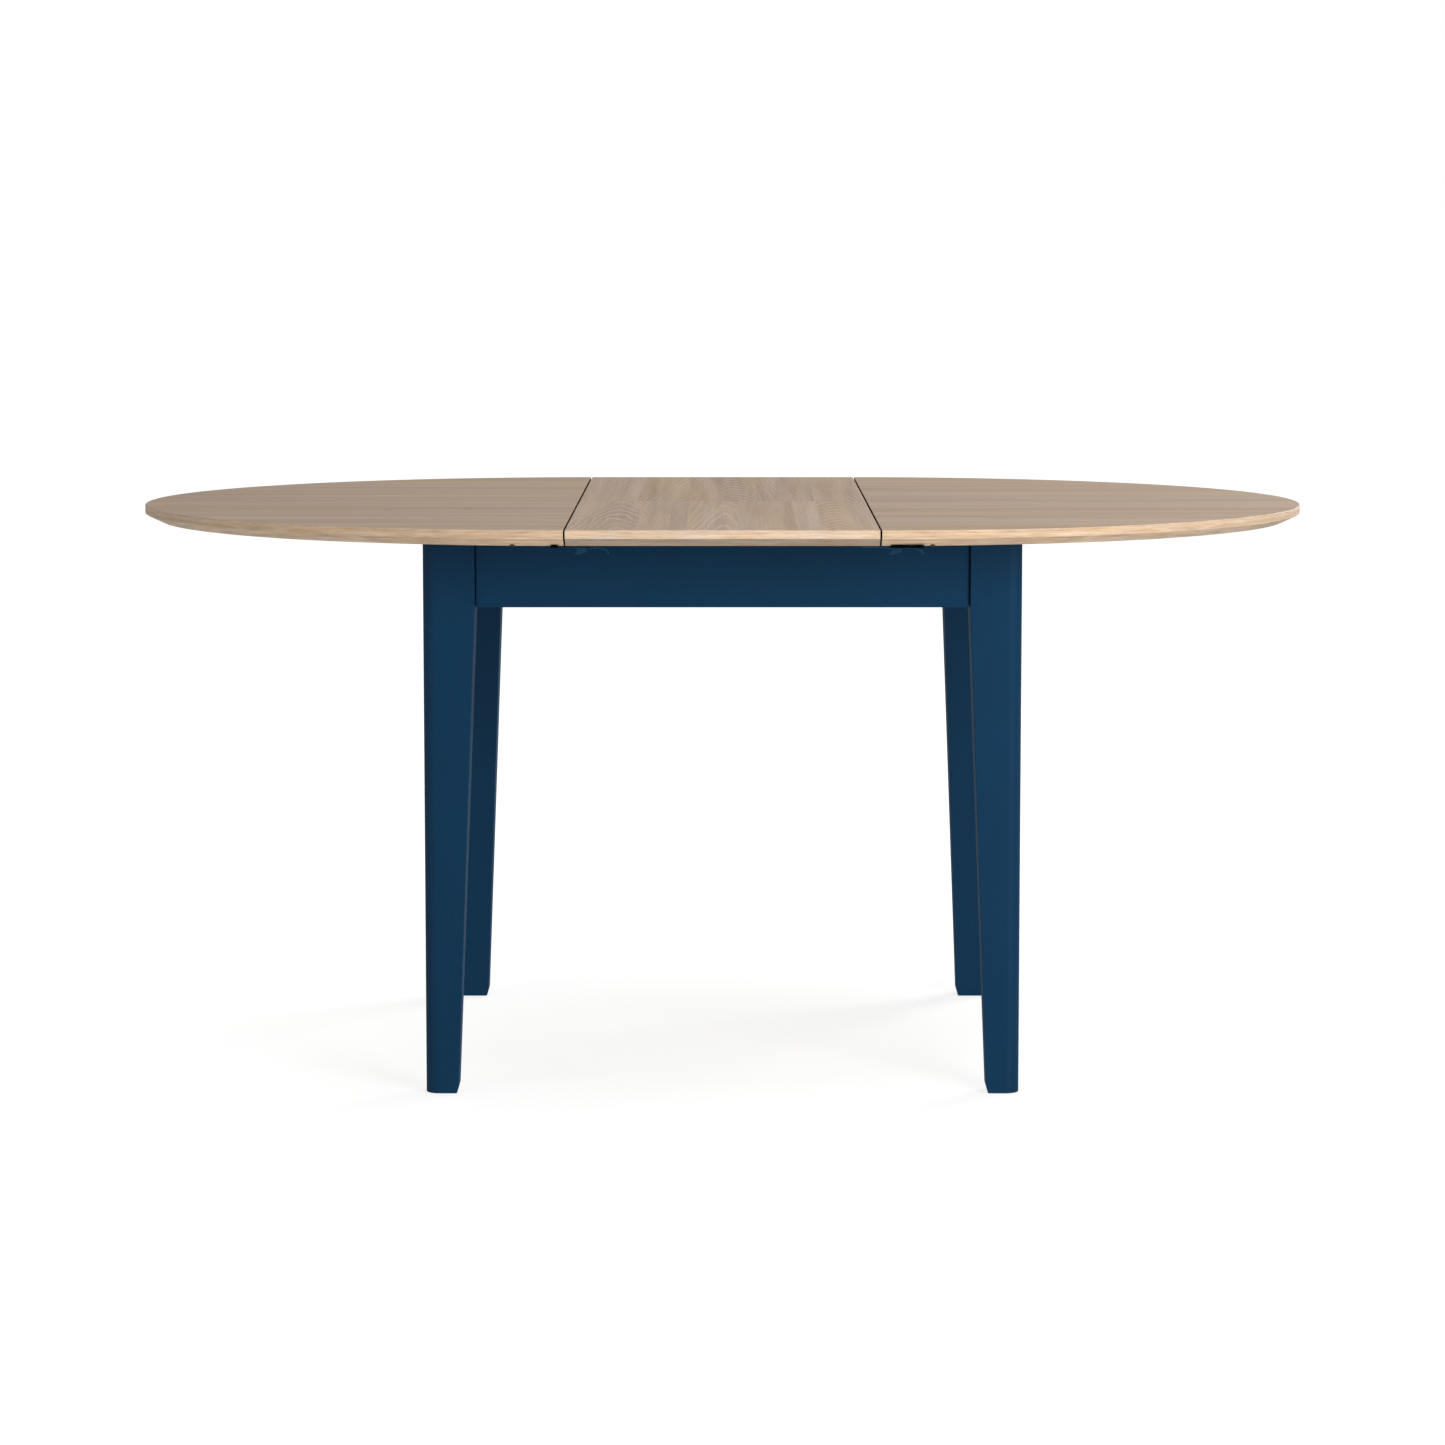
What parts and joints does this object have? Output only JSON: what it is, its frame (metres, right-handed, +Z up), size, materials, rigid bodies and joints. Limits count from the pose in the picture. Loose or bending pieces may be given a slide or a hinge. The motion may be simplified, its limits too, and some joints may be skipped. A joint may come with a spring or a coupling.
{
  "type": "extending dining table",
  "caption": "Round dining table extended by a folding centre leaf: two half tops slide on a square frame with tapered legs.",
  "frame": {"origin": "on the floor, under the middle of the table", "axes": "+X along the table's length, to the right half; -Y towards the front; +Z up"},
  "size_m": [1.6, 1.2, 0.762],
  "materials": {
    "oak_veneer": "pale matt-lacquered oak veneer, grain along X",
    "oak_stave": "pale matt-lacquered solid oak staves, grain along Y",
    "navy_paint": "satin dark blue paint on hardwood, faint grain showing",
    "hardwood": "planed, unvarnished beech",
    "clip_steel": "dark blued pressed steel, satin",
    "zinc_steel": "bright zinc plate",
    "brass": "turned brass, satin",
    "glide_nylon": "moulded nylon, matt"
  },
  "bodies": {
    "frame": {"left_apron": "navy_paint", "left_leaf_bearer": "hardwood", "leg_front_left": "navy_paint", "foot_glide_front_left": "glide_nylon", "corner_block_front_left": "hardwood", "corner_bolt_front_left": "zinc_steel", "leg_rear_left": "navy_paint", "foot_glide_rear_left": "glide_nylon", "corner_block_rear_left": "hardwood", "corner_bolt_rear_left": "zinc_steel", "right_apron": "navy_paint", "right_leaf_bearer": "hardwood", "leg_front_right": "navy_paint", "foot_glide_front_right": "glide_nylon", "corner_block_front_right": "hardwood", "corner_bolt_front_right": "zinc_steel", "leg_rear_right": "navy_paint", "foot_glide_rear_right": "glide_nylon", "corner_block_rear_right": "hardwood", "corner_bolt_rear_right": "zinc_steel", "front_apron": "navy_paint", "front_slide_beam": "hardwood", "rear_apron": "navy_paint", "rear_slide_beam": "hardwood"},
    "left_half": {"left_half_top": "oak_veneer", "alignment_pin_front_left": "brass", "runner_front_left": "hardwood", "clip_bracket_front_left": "clip_steel", "clip_pin_front_left": "clip_steel", "alignment_pin_rear_left": "brass", "runner_rear_left": "hardwood", "clip_bracket_rear_left": "clip_steel", "clip_pin_rear_left": "clip_steel"},
    "right_half": {"right_half_top": "oak_veneer", "alignment_pin_front_right": "brass", "runner_front_right": "hardwood", "clip_bracket_front_right": "clip_steel", "clip_pin_front_right": "clip_steel", "alignment_pin_rear_right": "brass", "runner_rear_right": "hardwood", "clip_bracket_rear_right": "clip_steel", "clip_pin_rear_right": "clip_steel"},
    "leaf_front": {"clip_keeper_front_left": "clip_steel", "hinge_barrel_front_left": "zinc_steel", "clip_keeper_front_right": "clip_steel", "hinge_barrel_front_right": "zinc_steel", "front_leaf_panel": "oak_stave"},
    "leaf_rear": {"clip_keeper_rear_left": "clip_steel", "hinge_barrel_rear_left": "zinc_steel", "clip_keeper_rear_right": "clip_steel", "hinge_barrel_rear_right": "zinc_steel", "rear_leaf_panel": "oak_stave"},
    "clip_lever_front_left": {"clip_lever_front_left": "clip_steel"},
    "clip_lever_rear_left": {"clip_lever_rear_left": "clip_steel"},
    "clip_lever_front_right": {"clip_lever_front_right": "clip_steel"},
    "clip_lever_rear_right": {"clip_lever_rear_right": "clip_steel"}
  },
  "joints": [
    {"name": "left_half_slide", "type": "slide", "parent": "frame", "child": "left_half", "axis": [-1, 0, 0], "range_m": [0, 0.03]},
    {"name": "right_half_slide", "type": "slide", "parent": "frame", "child": "right_half", "axis": [1, 0, 0], "range_m": [0, 0.03]},
    {"name": "leaf_lift", "type": "slide", "parent": "frame", "child": "leaf_front", "axis": [0, 0, 1], "range_m": [0, 0.15]},
    {"name": "leaf_fold", "type": "hinge", "parent": "leaf_front", "child": "leaf_rear", "pos_m": [0, 0, 0.7626], "axis": [1, 0, 0], "range_deg": [0, 180]},
    {"name": "clip_front_left_turn", "type": "hinge", "parent": "left_half", "child": "clip_lever_front_left", "pos_m": [-0.1775, -0.552, 0.7341], "axis": [0, 1, 0], "range_deg": [0, 80]},
    {"name": "clip_rear_left_turn", "type": "hinge", "parent": "left_half", "child": "clip_lever_rear_left", "pos_m": [-0.1775, 0.552, 0.7341], "axis": [0, 1, 0], "range_deg": [0, 80]},
    {"name": "clip_front_right_turn", "type": "hinge", "parent": "right_half", "child": "clip_lever_front_right", "pos_m": [0.2225, -0.552, 0.7341], "axis": [0, 1, 0], "range_deg": [0, 80]},
    {"name": "clip_rear_right_turn", "type": "hinge", "parent": "right_half", "child": "clip_lever_rear_right", "pos_m": [0.2225, 0.552, 0.7341], "axis": [0, 1, 0], "range_deg": [0, 80]}
  ]
}
